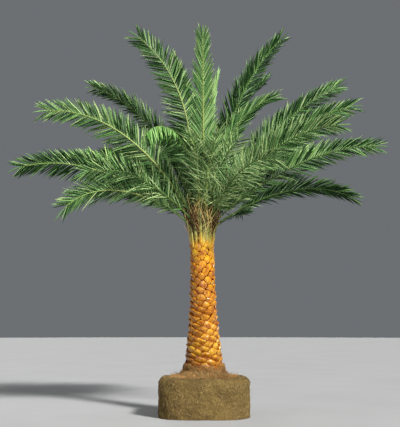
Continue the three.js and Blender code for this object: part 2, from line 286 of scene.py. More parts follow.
# Stem colours above the clasping sheath, and the places along the midrib where they begin.
STEM_STARTS = (0.0, 0.1, 0.24, 0.7)
STEM_TONES = [
    ("petiole_green", (78, 98, 42)),
    ("rib_olive", (68, 90, 36)),
    ("rib_green", (66, 92, 36)),
    ("rib_tip", (68, 96, 36)),
]
PALE_STEM_TONES = [
    ("petiole_pale", (138, 142, 72)),
    ("rib_pale", (136, 148, 74)),
    ("rib_straw", (142, 156, 80)),
    ("rib_lime", (126, 150, 70)),
]
PALE_STEMS = (1, 2, 3, 5, 6, 7, 8, 18, 20, 21)


def smoothstep(value, low, high):
    t = np.clip((value - low) / (high - low), 0, 1)
    return t * t * (3 - 2 * t)


def mix(a, b, t):
    return a + (b - a) * t


def unit(vectors):
    return vectors / np.linalg.norm(vectors, axis=-1, keepdims=True)


def paint(red, green, blue):
    """A display colour of 0 to 255 a channel as the shader's linear colour."""
    values = np.array((red, green, blue)) / 255
    linear = np.where(values <= 0.04045, values / 12.92, ((values + 0.055) / 1.055) ** 2.4)
    return (*linear.tolist(), 1.0)


# Finishes
def new_finish(name, roughness):
    finish = bpy.data.materials.new(name)
    finish.use_nodes = True
    shader = finish.node_tree.nodes["Principled BSDF"]
    shader.inputs["Roughness"].default_value = roughness
    return finish, finish.node_tree, shader


def add_node(tree, kind, **settings):
    node = tree.nodes.new(kind)
    for key, value in settings.items():
        setattr(node, key, value)
    return node


def place_on_piece(tree, stretch=(1, 1, 1)):
    """The piece's own coordinates, stretched for grain that runs one way."""
    spot = add_node(tree, "ShaderNodeTexCoord")
    turn = add_node(tree, "ShaderNodeMapping")
    turn.inputs["Scale"].default_value = stretch
    tree.links.new(spot.outputs["Object"], turn.inputs["Vector"])
    return turn.outputs["Vector"]


def mottle(tree, place, scale, detail, roughness=0.6):
    node = add_node(tree, "ShaderNodeTexNoise")
    node.inputs["Scale"].default_value = scale
    node.inputs["Detail"].default_value = detail
    node.inputs["Roughness"].default_value = roughness
    tree.links.new(place, node.inputs["Vector"])
    return node.outputs["Fac"]


def colour_steps(tree, factor, steps):
    node = add_node(tree, "ShaderNodeValToRGB")
    marks = node.color_ramp.elements
    while len(marks) < len(steps):
        marks.new(1.0)
    for mark, (position, colour) in zip(marks, steps):
        mark.position = position
        mark.color = paint(*colour)
    tree.links.new(factor, node.inputs["Fac"])
    return node.outputs["Color"]


def blend_colours(tree, kind, factor, first, second):
    node = add_node(tree, "ShaderNodeMix", data_type="RGBA", blend_type=kind)
    factor_socket, first_socket, second_socket = (node.inputs[place] for place in (0, 6, 7))
    for socket, value in ((factor_socket, factor), (first_socket, first), (second_socket, second)):
        if isinstance(value, bpy.types.NodeSocket):
            tree.links.new(value, socket)
        else:
            socket.default_value = value
    return node.outputs[2]


def raise_relief(tree, shader, height, depth, strength):
    node = add_node(tree, "ShaderNodeBump")
    node.inputs["Strength"].default_value = strength
    node.inputs["Distance"].default_value = depth
    tree.links.new(height, node.inputs["Height"])
    tree.links.new(node.outputs["Normal"], shader.inputs["Normal"])


def height_nudged(tree, attribute, nudge, low, high):
    """The value kept on the piece's corners, and the height from low to high that it shifts."""
    spot = add_node(tree, "ShaderNodeTexCoord")
    parts = add_node(tree, "ShaderNodeSeparateXYZ")
    tree.links.new(spot.outputs["Object"], parts.inputs["Vector"])
    kept = add_node(tree, "ShaderNodeAttribute", attribute_name=attribute)
    shift = add_node(tree, "ShaderNodeMath", operation="MULTIPLY_ADD")
    shift.inputs[1].default_value = nudge
    tree.links.new(kept.outputs["Fac"], shift.inputs[0])
    tree.links.new(parts.outputs["Z"], shift.inputs[2])
    height = add_node(tree, "ShaderNodeMapRange")
    height.inputs["From Min"].default_value = low
    height.inputs["From Max"].default_value = high
    tree.links.new(shift.outputs["Value"], height.inputs["Value"])
    return kept.outputs["Fac"], height.outputs["Result"]


def soil_finish():
    finish, tree, shader = new_finish("root_ball_soil", 0.95)
    place = place_on_piece(tree)
    patches = mottle(tree, place, 4.5, 5)
    ground = colour_steps(tree, patches, [
        (0.30, (96, 84, 58)), (0.48, (117, 104, 72)), (0.62, (132, 118, 82)), (0.75, (148, 133, 96))])
    crumbs = mottle(tree, place, 96, 8, 0.72)
    specks = colour_steps(tree, crumbs, [
        (0.32, (34, 26, 14)), (0.47, (124, 110, 82)), (0.60, (168, 154, 122)), (0.72, (220, 206, 168))])
    colour = blend_colours(tree, "OVERLAY", 0.9, ground, specks)
    tree.links.new(colour, shader.inputs["Base Color"])
    raise_relief(tree, shader, crumbs, 0.012, 0.7)
    shader.inputs["Specular IOR Level"].default_value = 0.15
    return finish


def boot_finish():
    """Rust to gold up the trunk, each base with its own tone that is painted lighter on the sunny side,
    darker in its seams partly as fibre and partly as painted shade, with painted light on the upper
    lips.
    """
    finish, tree, shader = new_finish("cut_leaf_base", 0.22)
    # The boot tone is random and painted lighter toward the sunny side; it shifts the ramp's height and
    # picks a tint from the ramp below: painted light and shade
    tone, height = height_nudged(tree, "boot_tone_and_painted_sun", 0.12, 0.67, 2.32)
    ramp = colour_steps(tree, height, [
        (0.02, (170, 122, 40)), (0.12, (198, 158, 52)), (0.30, (200, 150, 42)), (0.5, (192, 138, 28)),
        (0.62, (182, 132, 24)), (0.74, (214, 158, 22)), (0.88, (208, 166, 23)), (1.0, (226, 188, 34))])
    shade = colour_steps(tree, tone, [
        (0.0, (188, 152, 112)), (0.35, (230, 214, 190)),
        (0.7, (255, 252, 246)), (1.0, (255, 255, 255))])
    ramp = blend_colours(tree, "MULTIPLY", 1.0, ramp, shade)
    grain = mottle(tree, place_on_piece(tree, (1, 1, 0.35)), 46, 6)
    streaks = colour_steps(tree, grain, [
        (0.34, (170, 118, 76)), (0.52, (250, 246, 236)), (0.7, (255, 255, 250))])
    worn = blend_colours(tree, "MULTIPLY", 0.7, ramp, streaks)
    patches = mottle(tree, place_on_piece(tree), 15, 3)
    browned = colour_steps(tree, patches, [
        (0.34, (186, 128, 84)), (0.46, (232, 212, 190)),
        (0.56, (255, 255, 250)), (0.7, (255, 255, 255))])
    worn = blend_colours(tree, "MULTIPLY", 0.85, worn, browned)
    # Seam ramp: dark fibre at the rims, painted shade in the recesses and painted light on the upper
    # lips of the boots
    crest = add_node(tree, "ShaderNodeAttribute", attribute_name="boot_seam_and_painted_light")
    seam = colour_steps(tree, crest.outputs["Fac"], [
        (0.0, (120, 68, 24)), (0.3, (178, 118, 58)), (0.7, (236, 220, 192)), (1.0, (255, 255, 255))])
    colour = blend_colours(tree, "MULTIPLY", 1.0, worn, seam)
    tree.links.new(colour, shader.inputs["Base Color"])
    raise_relief(tree, shader, grain, 0.004, 0.5)
    shader.inputs["Specular IOR Level"].default_value = 0.6
    return finish


def sheath_finish():
    """Gold where the sheath leaves the trunk, through lemon to the green of the free stem."""
    finish, tree, shader = new_finish("stem_sheath", 0.42)
    _, height = height_nudged(tree, "sheath_shade", 0.1, 2.0, 2.6)
    ramp = colour_steps(tree, height, [
        (0.06, (182, 118, 26)), (0.16, (198, 150, 34)), (0.24, (188, 156, 52)), (0.34, (156, 146, 64)),
        (0.5, (122, 126, 60)), (0.75, (100, 112, 52))])
    grain = mottle(tree, place_on_piece(tree, (1, 1, 0.12)), 60, 5)
    streaks = colour_steps(tree, grain, [
        (0.34, (150, 112, 70)), (0.5, (240, 236, 220)), (0.7, (255, 255, 250))])
    colour = blend_colours(tree, "MULTIPLY", 0.8, ramp, streaks)
    tree.links.new(colour, shader.inputs["Base Color"])
    raise_relief(tree, shader, grain, 0.003, 0.5)
    return finish


def fibre_finish(name, dark, light, stretch):
    finish, tree, shader = new_finish(name, 0.8)
    grain = mottle(tree, place_on_piece(tree, stretch), 40, 6, 0.7)
    middle = tuple((a + b) // 2 for a, b in zip(dark, light))
    colour = colour_steps(tree, grain, [(0.32, dark), (0.52, middle), (0.70, light)])
    tree.links.new(colour, shader.inputs["Base Color"])
    raise_relief(tree, shader, grain, 0.008, 0.8)
    shader.inputs["Specular IOR Level"].default_value = 0.2
    return finish


def plain_finish(name, colour, roughness, gloss=0.25):
    """A plain colour that is dealt out by strand, stem zone or leaflet."""
    finish, _, shader = new_finish(name, roughness)
    shader.inputs["Base Color"].default_value = paint(*colour)
    shader.inputs["Specular IOR Level"].default_value = gloss
    return finish


def floor_finish():
    finish, tree, shader = new_finish("studio_floor", 0.7)
    cloud = mottle(tree, place_on_piece(tree), 0.6, 3)
    colour = colour_steps(tree, cloud, [(0.3, (150, 150, 149)), (0.7, (156, 156, 155))])
    tree.links.new(colour, shader.inputs["Base Color"])
    return finish


# Making pieces
def start_piece(name):
    piece = bpy.context.object
    piece.name = name
    piece.data.name = name
    return piece


def pick_edges(piece, test):
    """In edit mode, selects only the edges that pass the given test."""
    bpy.ops.mesh.select_all(action="DESELECT")
    cage = bmesh.from_edit_mesh(piece.data)
    for edge in cage.edges:
        if test(edge):
            edge.select_set(True)
    bmesh.update_edit_mesh(piece.data)


def settle_modifiers(piece):
    bpy.context.view_layer.objects.active = piece
    for modifier in list(piece.modifiers):
        bpy.ops.object.modifier_apply(modifier=modifier.name)


def roughen(piece, name, size, depth, strength):
    pattern = bpy.data.textures.new(name, "CLOUDS")
    pattern.noise_scale = size
    pattern.noise_depth = depth
    lumps = piece.modifiers.new(name, "DISPLACE")
    lumps.texture = pattern
    lumps.texture_coords = "LOCAL"
    lumps.strength = strength
    lumps.mid_level = 0.5


def turned_body(name, rings, sides):
    """A round closed body drawn up ring by ring: each ring is (x of its centre, radius, z)."""
    bpy.ops.object.select_all(action="DESELECT")
    x, radius, z = rings[0]
    bpy.ops.mesh.primitive_circle_add(
        vertices=sides, radius=radius, fill_type="NGON", location=(x, 0, z))
    piece = start_piece(name)
    bpy.ops.object.transform_apply(location=True)
    bpy.ops.object.mode_set(mode="EDIT")
    bpy.ops.mesh.select_all(action="SELECT")
    for x_next, radius_next, z_next in rings[1:]:
        shift = (x_next - x, 0, z_next - z)
        bpy.ops.mesh.extrude_region_move(TRANSFORM_OT_translate={"value": shift})
        grow = radius_next / radius
        bpy.ops.transform.resize(value=(grow, grow, 1), center_override=(x_next, 0, z_next))
        x, radius, z = x_next, radius_next, z_next
    bpy.ops.mesh.select_all(action="SELECT")
    bpy.ops.mesh.normals_make_consistent(inside=False)
    bpy.ops.object.mode_set(mode="OBJECT")
    bpy.ops.object.shade_smooth_by_angle(angle=math.radians(50))
    return piece


def joined_mesh(name, points, faces, finishes, finish_of_face):
    """One piece from arrays of many small closed bodies."""
    mesh = bpy.data.meshes.new(name)
    mesh.from_pydata(points, [], faces)
    for finish in finishes:
        mesh.materials.append(finish)
    mesh.polygons.foreach_set("material_index", np.asarray(finish_of_face, np.int32))
    mesh.update()
    piece = bpy.data.objects.new(name, mesh)
    bpy.context.collection.objects.link(piece)
    return piece


def keep_values(piece, name, values):
    """Stores a value on every corner of a piece for its finish to read."""
    layer = piece.data.attributes.new(name, "FLOAT", "POINT")
    layer.data.foreach_set("value", np.concatenate(values).astype(np.float32))


def ring_faces(low, high, sides):
    """Faces between two rings of corners that begin at the given numbers."""
    return [(low + k, low + (k + 1) % sides, high + (k + 1) % sides, high + k) for k in range(sides)]


def seat_piece(piece, nodes):
    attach(piece, "root")
    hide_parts(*nodes)


def strand_piece(name, points, radii, finishes, finish_of_strand, sides=3):
    """Tapering closed strands: points are (strand, step, xyz) and radii (strand, step)."""
    count, steps = radii.shape
    along = unit(np.gradient(points, axis=1))
    guide = np.array((0.35, 0.52, 0.78))
    across = unit(np.cross(along, guide))
    upward = np.cross(along, across)
    turns = 2 * np.pi * np.arange(sides) / sides
    ring = (across[:, :, None] * np.cos(turns)[:, None] + upward[:, :, None] * np.sin(turns)[:, None])
    spots = points[:, :, None] + radii[:, :, None, None] * ring
    faces = []
    for step in range(steps - 1):
        faces += ring_faces(step * sides, (step + 1) * sides, sides)
    ends = [tuple(reversed(range(sides))), tuple(range((steps - 1) * sides, steps * sides))]
    each = steps * sides
    all_faces = [tuple(i + each * s for i in face) for s in range(count) for face in faces + ends]
    finish_of_face = np.repeat(finish_of_strand, len(faces) + 2)
    return joined_mesh(name, spots.reshape(-1, 3), all_faces, finishes, finish_of_face)


# Root ball
def model_soil(finish):
    bpy.ops.object.select_all(action="DESELECT")
    spare = 0.06
    bpy.ops.mesh.primitive_cube_add(size=1, location=(0, 0, (BALL_HEIGHT - spare) / 2))
    soil = start_piece("root_ball_soil")
    width = 2 * BALL_HALF - BALL_SHRINK
    soil.scale = (width, width, BALL_HEIGHT + spare)
    bpy.ops.object.transform_apply(location=True, scale=True)
    bpy.ops.object.mode_set(mode="EDIT")
    pick_edges(soil, lambda edge: abs(edge.verts[0].co.z - edge.verts[1].co.z) > 0.1)
    bpy.ops.mesh.bevel(offset=BALL_CORNER, segments=9, affect="EDGES")
    pick_edges(soil, lambda edge: min(v.co.z for v in edge.verts) > BALL_HEIGHT - 0.01)
    bpy.ops.mesh.bevel(offset=BALL_ROUNDING, segments=4, affect="EDGES")
    bpy.ops.object.mode_set(mode="OBJECT")
    tall = MOUND_TOP_Z - BALL_HEIGHT + spare
    bpy.ops.mesh.primitive_cone_add(
        vertices=48, radius1=MOUND_FOOT, radius2=MOUND_TOP, depth=tall,
        location=(0, 0, MOUND_TOP_Z - tall / 2))
    soil.select_set(True)
    bpy.context.view_layer.objects.active = soil
    bpy.ops.object.join()
    voxels = soil.modifiers.new("one_mass", "REMESH")
    voxels.mode = "VOXEL"
    voxels.voxel_size = SOIL_GRAIN
    soften = soil.modifiers.new("soften", "SMOOTH")
    soften.factor = 0.5
    soften.iterations = 6
    roughen(soil, "lumps", 0.16, 2, 0.022)
    roughen(soil, "clods", 0.045, 3, 0.014)
    roughen(soil, "crumbs", 0.018, 2, 0.014)
    settle_modifiers(soil)
    bpy.ops.object.mode_set(mode="EDIT")
    bpy.ops.mesh.select_all(action="SELECT")
    bpy.ops.mesh.bisect(plane_co=(0, 0, 0), plane_no=(0, 0, 1), use_fill=True, clear_inner=True)
    bpy.ops.object.mode_set(mode="OBJECT")
    bpy.ops.object.shade_smooth()
    soil.data.materials.append(finish)
    seat_piece(soil, ["root_ball"])
    return soil


def root_hairs(soil, finishes):
    """Fine roots that wander over the cut faces and the top of the soil."""
    chance = np.random.default_rng(21)
    surface = BVHTree.FromObject(soil, bpy.context.evaluated_depsgraph_get())
    count, steps = HAIR_COUNT, ROOT_STEPS
    points = np.zeros((count, steps, 3))
    for hair in range(count):
        turn = chance.uniform(0, 2 * np.pi)
        on_top = hair % 5 == 0
        reach = chance.uniform(0.3, 0.56) if on_top else 0.75
        rise = BALL_HEIGHT + 0.05 if on_top else chance.uniform(0.03, BALL_HEIGHT - 0.01)
        spot = Vector((reach * math.cos(turn), reach * math.sin(turn), rise))
        spot, normal, _, _ = surface.find_nearest(spot)
        heading = Vector(chance.normal(size=3))
        stride = chance.uniform(*HAIR_STRIDE)
        for step in range(steps):
            points[hair, step] = spot + normal * 0.0015
            heading = heading + Vector(chance.normal(size=3)) * ROOT_WANDER
            heading = heading - normal * heading.dot(normal)
            heading.normalize()
            spot, normal, _, _ = surface.find_nearest(spot + heading * stride)
            if spot.z < HAIR_FLOOR_Z:
                spot.z = HAIR_FLOOR_Z
    taper = np.linspace(1, 0.35, steps)
    radii = chance.uniform(*HAIR_THICK, (count, 1)) * taper
    kinds = chance.choice(len(finishes), count, p=HAIR_SHARES)
    roots = strand_piece("root_ball_hairs", points, radii, finishes, kinds)
    seat_piece(roots, ["root_ball"])


def root_skirt(soil, finishes):
    """Rootlets that lie loose over the mound and cling to the lowest boots."""
    chance = np.random.default_rng(22)
    surface = BVHTree.FromObject(soil, bpy.context.evaluated_depsgraph_get())
    count, steps = ROOTLET_COUNT, ROOT_STEPS
    points = np.zeros((count, steps, 3))
    for root in range(count):
        turn = chance.uniform(0, 2 * np.pi)
        reach = chance.uniform(*ROOTLET_REACH)
        climbs = root % 5 == 0
        heading = turn + chance.normal(0, 1.0)
        stride = chance.uniform(*ROOTLET_STRIDE)
        arch = 0.003 + 0.05 * chance.uniform(0, 1) ** 2
        start = SEAT_Z + chance.uniform(-0.02, 0.05)
        x, y = reach * math.cos(turn), reach * math.sin(turn)
        for step in range(steps):
            t = step / (steps - 1)
            if climbs:
                z = start - 0.05 * t
                out = trunk_radius(z) + 0.002 + 0.012 * t
                bearing = turn + 0.25 * (heading - turn) * t
                points[root, step] = (out * math.cos(bearing), out * math.sin(bearing), z)
                continue
            ground = surface.ray_cast(Vector((x, y, 1)), Vector((0, 0, -1)))[0]
            points[root, step] = (x, y, ground.z + 0.002 + arch * t)
            heading += chance.normal(0, ROOT_WANDER)
            x += stride * math.cos(heading)
            y += stride * math.sin(heading)
    taper = np.linspace(1, 0.4, steps)
    radii = chance.uniform(*ROOTLET_THICK, (count, 1)) * taper
    kinds = chance.choice(len(finishes), count, p=ROOTLET_SHARES)
    skirt = strand_piece("trunk_foot_rootlets", points, radii, finishes, kinds)
    seat_piece(skirt, ["root_ball"])


# Trunk
def trunk_radius(z):
    t = np.clip((z - SEAT_Z) / (TRUNK_TOP_Z - SEAT_Z), 0, 1)
    return TRUNK_TOP_RADIUS + (TRUNK_FOOT_RADIUS - TRUNK_TOP_RADIUS) * (1 - t) ** TRUNK_TAPER


def trunk_axis(z):
    return -TRUNK_LEAN * (z - SEAT_Z) / (TRUNK_TOP_Z - SEAT_Z)


def model_core(finish):
    levels = np.linspace(SEAT_Z - 0.02, TRUNK_TOP_Z - 0.005, 24)
    rings = [(trunk_axis(z), trunk_radius(z) - CORE_INSET, z) for z in levels]
    core = turned_body("trunk_core", rings, 40)
    core.data.materials.append(finish)
    seat_piece(core, ["trunk"])


def model_boot():
    """One cut leaf base as a round plate of radius 1, its face up at z 1 and its back at z 0."""
    bpy.ops.object.select_all(action="DESELECT")
    bpy.ops.mesh.primitive_circle_add(vertices=BOOT_SIDES, radius=1, fill_type="NGON")
    boot = start_piece("leaf_base_pattern")
    bpy.ops.object.mode_set(mode="EDIT")
    bpy.ops.mesh.select_all(action="SELECT")
    bpy.ops.mesh.extrude_region_move(TRANSFORM_OT_translate={"value": (0, 0, 1)})
    for border in (0.07, 0.13, 0.36):
        bpy.ops.mesh.inset(thickness=border)
    bpy.ops.mesh.poke()
    bpy.ops.mesh.select_all(action="SELECT")
    bpy.ops.mesh.normals_make_consistent(inside=False)
    bpy.ops.object.mode_set(mode="OBJECT")
    return boot


def corner_points(piece):
    flat = np.zeros(3 * len(piece.data.vertices))
    piece.data.vertices.foreach_get("co", flat)
    return flat.reshape(-1, 3)


def boot_height(place):
    return SEAT_Z + BOOT_RISE * (math.exp(BOOT_GROWTH * place) - 1) / BOOT_GROWTH


def boot_spot(place):
    """Bearing in degrees and height of a boot's middle, a little astray from the even spiral."""
    stray = np.random.default_rng(900 + place).normal(0, 1, 2)
    step = BOOT_RISE * math.exp(BOOT_GROWTH * place)
    return GOLDEN_ANGLE * place + BOOT_STRAY * stray[0], boot_height(place) + step * stray[1]


def boot_reach(place, angles, squash):
    """Half way from a boot's middle to those round it on the spiral, with rounded corners."""
    bearing, level = boot_spot(place)
    around = [boot_spot(place + step) for step in BOOT_NEIGHBOURS]
    turns = [(turn - bearing + 180) % 360 - 180 for turn, _ in around]
    across = trunk_radius(level) * np.radians(turns)
    up = squash * np.array([height - level for _, height in around])
    gaps = np.hypot(across, up)
    facing = (np.cos(angles)[:, None] * across + np.sin(angles)[:, None] * up) / gaps
    nearness = np.clip(facing, 0, None) * 2 / gaps
    return np.sum(nearness ** BOOT_CORNERS, axis=1) ** (-1 / BOOT_CORNERS)


def boot_points(place, age, x, y, front, chance):
    """Corners of one boot, fitted to its own cell of the spiral, with its upper lip furthest out."""
    angles, spread = np.arctan2(y, x), np.minimum(np.hypot(x, y), 1)
    lip = smoothstep(spread, 0.93, 1.0)
    bearing, level = boot_spot(place)
    squash = mix(*BOOT_SQUASH, age)
    reach = boot_reach(place, angles, squash) - BOOT_SEAM
    across = spread * reach * np.cos(angles)
    up = spread * reach * np.sin(angles) / squash
    tall = reach[np.argmax(y)] / squash
    fall = mix(*BOOT_FALL, age) * np.clip((tall - up) / (2 * tall), 0, 1.1)
    bulge = mix(*BOOT_BULGE, age) * (1 - spread ** 2) - BOOT_LIP * lip
    z = level + up
    slant = BOOT_TILT * np.clip(chance.normal(0, 1, 2), -1.6, 1.6)
    worn = np.clip(slant[0] / BOOT_TILT, 0, 1) * mix(*BOOT_WEAR, age)
    bulge = bulge - worn * smoothstep(y, 0.4, 1.0)
    skin = trunk_radius(z) + mix(*BOOT_PROUD, age) - chance.uniform(0, BOOT_STAGGER)
    skin = skin + spread * (slant[0] * np.cos(angles) + slant[1] * np.sin(angles))
    out = skin - np.where(front > 0.5, fall - bulge, BOOT_DEPTH)
    turn = math.radians(bearing) + across / trunk_radius(level)
    return np.stack((trunk_axis(z) + out * np.cos(turn), out * np.sin(turn), z), axis=1)


def boot_seam_and_painted_light(x, y, front):
    """How far each corner of a boot stands clear of the dark seam round it: the seam is darker partly
    as fibre and partly as painted shade in the recess, and the upper part and top rim carry painted
    light.
    """
    lip = smoothstep(np.minimum(np.hypot(x, y), 1), 0.93, 1.0)
    # Painted light on the upper part of each boot and on the tops of its sides, painted shade on the
    # rest of its sides and its rim
    painted_ledge_light = smoothstep(y, 0.1, 0.6)
    seam_shade_and_lip_light = 0.86 + 0.14 * np.clip(1.6 * y, -1, 1) - 0.7 * lip * (1 - 0.8 * painted_ledge_light)
    return np.where(front > 0.5, seam_shade_and_lip_light, 0.45 * painted_ledge_light)


def trunk_boots(finish):
    """A plate for every boot of the spiral, each with its own random tone, painted lighter toward the
    sunny side and darker on the shade side.
    """
    chance = np.random.default_rng(31)
    pattern = model_boot()
    x, y, front = corner_points(pattern).T
    pattern_faces = [tuple(face.vertices) for face in pattern.data.polygons]
    each = len(x)
    climb = BOOT_GROWTH * (TRUNK_TOP_Z - 0.01 - SEAT_Z) / BOOT_RISE
    top = int(math.log(1 + climb) / BOOT_GROWTH)
    fresh_from, aged_to = BOOT_AGES
    points, faces, tones = [], [], []
    for place in range(-BURIED_BOOTS, top + 1):
        age = 1 - smoothstep(place / top, aged_to, fresh_from)
        start = each * len(points)
        points.append(boot_points(place, age, x, y, front, chance))
        faces += [tuple(i + start for i in face) for face in pattern_faces]
        bearing, _ = boot_spot(place)
        # Painted light and shade: boots facing the sunny side get a lighter tone, those on the shade
        # side a darker one
        painted_sun = 0.5 + 0.5 * math.cos(math.radians(bearing - SUNNY_SIDE))
        tones.append(np.full(each, mix(chance.uniform(0, 1), painted_sun, PAINTED_SUN_SHARE)))
    boots = joined_mesh("trunk_boots", np.concatenate(points), faces, [finish], np.zeros(len(faces)))
    keep_values(boots, "boot_seam_and_painted_light", [boot_seam_and_painted_light(x, y, front)] * len(points))
    keep_values(boots, "boot_tone_and_painted_sun", tones)
    bpy.ops.object.select_all(action="DESELECT")
    boots.select_set(True)
    bpy.context.view_layer.objects.active = boots
    bpy.ops.object.shade_smooth_by_angle(angle=math.radians(24))
    bpy.data.objects.remove(pattern)
    seat_piece(boots, ["trunk"])


# Heart
def heart_radius(z):
    widen = mix(HEART_NECK, HEART_BELLY, smoothstep(z, TRUNK_TOP_Z, HEART_BELLY_Z))
    close = np.sqrt(np.clip(1 - ((z - HEART_DOME_Z) / (HEART_TOP_Z - HEART_DOME_Z)), 0, 1))
    return widen * np.where(z < HEART_DOME_Z, 1, close)


def model_heart(finish):
    wall = np.linspace(TRUNK_TOP_Z - 0.02, HEART_DOME_Z, 9)
    levels = np.concatenate((wall, (2.52, 2.58, 2.63, 2.67, 2.695)))
    rings = [(-TRUNK_LEAN, float(heart_radius(z)), z) for z in levels]
    heart = turned_body("heart_fibre", rings, 32)
    roughen(heart, "fibre_folds", 0.05, 2, 0.03)
    settle_modifiers(heart)
    heart.data.materials.append(finish)
    seat_piece(heart, ["heart"])


def heart_strands(finishes):
    """Torn fibre that wraps the stem feet, and a few stiff dry stalks among them."""
    chance = np.random.default_rng(41)
    count, stalks, steps = FIBRE_STRANDS, DRY_STALKS, STRAND_STEPS
    bare = [seat_bearing(number) for number in BARE_STEMS]
    points = np.zeros((count, steps, 3))
    for strand in range(count):
        stiff = strand < stalks
        turn = chance.uniform(0, 2 * np.pi)
        foot = chance.uniform(TRUNK_TOP_Z - 0.02, HEART_BELLY_Z)
        tall = chance.uniform(*(STALK_TALL if stiff else FIBRE_TALL))
        twist = chance.normal(0, STALK_TWIST if stiff else FIBRE_TWIST)
        flare = chance.uniform(*STALK_FLARE) if stiff else FIBRE_FLARE * chance.uniform(0, 1)
        if not stiff:
            middle = turn + twist / 2
            near = min(abs((middle - stem + np.pi) % (2 * np.pi) - np.pi) for stem in bare)
            clear = float(smoothstep(near, *FIBRE_CLEAR))
            flare *= clear
            twist *= 0.3 + 0.7 * clear
        for step in range(steps):
            t = step / (steps - 1)
            z = foot + tall * t
            risen = np.clip((z - TRUNK_TOP_Z) / FIBRE_RISE, 0, 1)
            out = float(heart_radius(min(z, HEART_DOME_Z))) + 0.010 + flare * (t if stiff else risen)
            bearing = turn + twist * t + 0.06 * math.sin(5 * t + strand)
            points[strand, step] = (out * math.cos(bearing) - TRUNK_LEAN, out * math.sin(bearing), z)
    radii = chance.uniform(*FIBRE_THICK, (count, 1)) * np.linspace(1, 0.3, steps)
    radii[:stalks] = chance.uniform(*STALK_THICK, (stalks, 1)) * np.linspace(1, 0.5, steps)
    kinds = chance.choice(len(finishes), count, p=FIBRE_SHARES)
    kinds[:stalks] = len(finishes) - 1
    strands = strand_piece("heart_strands", points, radii, finishes, kinds, sides=4)
    seat_piece(strands, ["heart"])


# Fronds
def seat_bearing(number):
    """The bearing at which a frond sits on the heart."""
    return math.radians(FRONDS[number].heading + FRONDS[number].seat)


def stem_slimness(number):
    return FRONT_SLIM if number in FRONT_STEMS else 1


def midrib(number):
    """Spots and directions along the rib: it leaves steeply, bends out to its rise and droops."""
    heading, rise, droop, _, length, roll = FRONDS[number][:6]
    s = np.arange(MIDRIB_STEPS + 1) / MIDRIB_STEPS
    azimuth = math.radians(heading)
    early = (BASE_STEEPNESS - rise) * np.maximum(0, 1 - s / BASE_BEND) ** 2
    lift = np.radians(rise + early - droop * s ** 2)
    ahead = np.array((math.cos(azimuth), math.sin(azimuth), 0))
    upright = np.array((0, 0, 1))
    along = np.cos(lift)[:, None] * ahead + np.sin(lift)[:, None] * upright
    level = np.cos(lift)[:, None] * upright - np.sin(lift)[:, None] * ahead
    wing = np.cross(along, level)
    turn = -np.radians(roll) * smoothstep(s, 0.08, 0.4)
    face = np.cos(turn)[:, None] * level + np.sin(turn)[:, None] * wing
    side = np.cross(along, face)
    high = rise / 90
    bearing = seat_bearing(number)
    out = SEAT_OUT - SEAT_DRAW * high
    foot = np.array((out * math.cos(bearing) - TRUNK_LEAN, out * math.sin(bearing), 0))
    foot[2] = TRUNK_TOP_Z - SEAT_SINK + SEAT_CLIMB * high ** 1.3
    strides = along * (length - END_LEAF) / MIDRIB_STEPS
    spots = foot + np.concatenate((np.zeros((1, 3)), np.cumsum(strides[:-1], axis=0)))
    clasp = CLASP_OUT * np.clip((CLASP_RISE - rise) / 30, 0, 1) * np.maximum(0, 1 - s / 0.16) ** 2
    if number in FRONT_STEMS:
        clasp = FRONT_PROUD * np.maximum(0, 1 - s / 0.5) ** 2
    spots = spots + clasp[:, None] * np.array((math.cos(bearing), math.sin(bearing), 0))
    inward = spots[:, :2] + (TRUNK_LEAN, 0)
    reach = np.linalg.norm(inward, axis=1)
    push = np.maximum(0, heart_radius(spots[:, 2]) + STEM_GAP - reach)
    spots[:, :2] += inward / reach[:, None] * push[:, None]
    return s, spots, along, face, side


def rib_size(s, foot, middle, tip):
    """A size along the rib, from its foot to the first leaflets and on to the tip."""
    low = mix(foot, middle, np.minimum(1, s / LEAF_START))
    return np.where(s < LEAF_START, low, mix(middle, tip, (s - LEAF_START) / (1 - LEAF_START)))


def rib_width(s):
    return rib_size(s, STEM_WIDTH, RIB_WIDTH, TIP_WIDTH)


def rib_depth(s):
    return rib_size(s, STEM_DEPTH, RIB_DEPTH, TIP_DEPTH)


def leaf_length(u, ripe):
    """Leaflets lengthen from the spines to that part of the blade and shorten toward its tip."""
    return SPINE_LONG + (LEAF_LONG - SPINE_LONG) * smoothstep(u, -0.12, ripe) * (1 - 0.5 * u * u)


def leaf_angle(u):
    """Leaflets sweep forward at the foot of the blade, open past it and close toward the tip."""
    return mix(LEAF_ANGLE_LOW, LEAF_ANGLE_TIP, u) * mix(FOOT_SWEEP, 1, smoothstep(u, 0, 0.4))


def stem_section(s, width, depth):
    """Outline of the stem: channelled on its upper side near the foot, ridged further out."""
    ridge = mix(0.16, 0.5, float(smoothstep(s, 0.08, 0.24)))
    outline = np.array((
        (0.5, 0.08), (0.42, -0.26), (0.22, -0.44), (0, -0.5), (-0.22, -0.44), (-0.42, -0.26),
        (-0.5, 0.08), (-0.34, 0.34), (0, ridge), (0.34, 0.34)))
    return outline * (width, depth)


def stem_zone(place):
    """Which of the stem's colours holds at a place along the midrib."""
    return int(np.searchsorted(STEM_STARTS, place, side="right") - 1)


def rib_ring(rib, step, slim):
    s, spots, _, face, side = rib
    outline = stem_section(s[step], slim * float(rib_width(s[step])), float(rib_depth(s[step])))
    return spots[step] + outline[:, :1] * side[step] + outline[:, 1:] * face[step]


def clasps(number):
    return FRONDS[number].rise < CLASP_RISE or number in FRONT_STEMS


